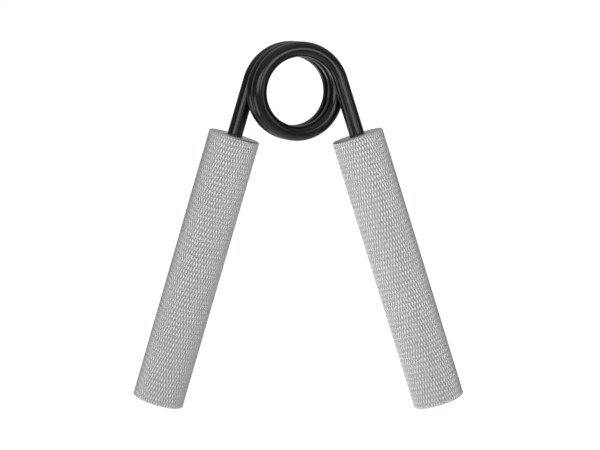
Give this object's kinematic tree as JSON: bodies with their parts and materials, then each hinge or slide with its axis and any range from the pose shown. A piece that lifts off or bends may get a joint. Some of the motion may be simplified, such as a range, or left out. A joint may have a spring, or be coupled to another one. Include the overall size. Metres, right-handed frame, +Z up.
{
  "type": "hand grip strengthener",
  "caption": "Torsion-spring hand gripper: round knurled aluminium bar handles, splayed apart, on the legs of a close-coiled black steel spring.",
  "frame": {"origin": "on the ground, midway between the two handles, with the gripper upright, coil on top", "axes": "+Z up through the middle of the coil, +X towards the right handle, +Y away from the user, who sees the right leg leave the near end of the coil"},
  "size_m": [0.1424, 0.0282, 0.1579],
  "materials": {
    "handle_aluminium": "fine diamond knurl, satin, with plain bevelled ends",
    "spring_steel": "black satin coating on spring steel wire"
  },
  "bodies": {
    "coil": {"spring_coil": "spring_steel"},
    "left_side": {"left_handle": "handle_aluminium", "left_spring_leg": "spring_steel"},
    "right_side": {"right_handle": "handle_aluminium", "right_spring_leg": "spring_steel"}
  },
  "joints": [
    {"name": "left_squeeze", "type": "hinge", "parent": "coil", "child": "left_side", "pos_m": [0, 0, 0.13677], "axis": [0, -1, 0], "range_deg": [0, 20], "stiffness_Nm_per_rad": 122, "deforming": ["spring_coil"]},
    {"name": "right_squeeze", "type": "hinge", "parent": "coil", "child": "right_side", "pos_m": [0, 0, 0.13677], "axis": [0, 1, 0], "range_deg": [0, 20], "stiffness_Nm_per_rad": 122, "deforming": ["spring_coil"]}
  ],
  "couplings": [
    {"joint": "right_squeeze", "follows": "left_squeeze", "ratio": 1}
  ]
}
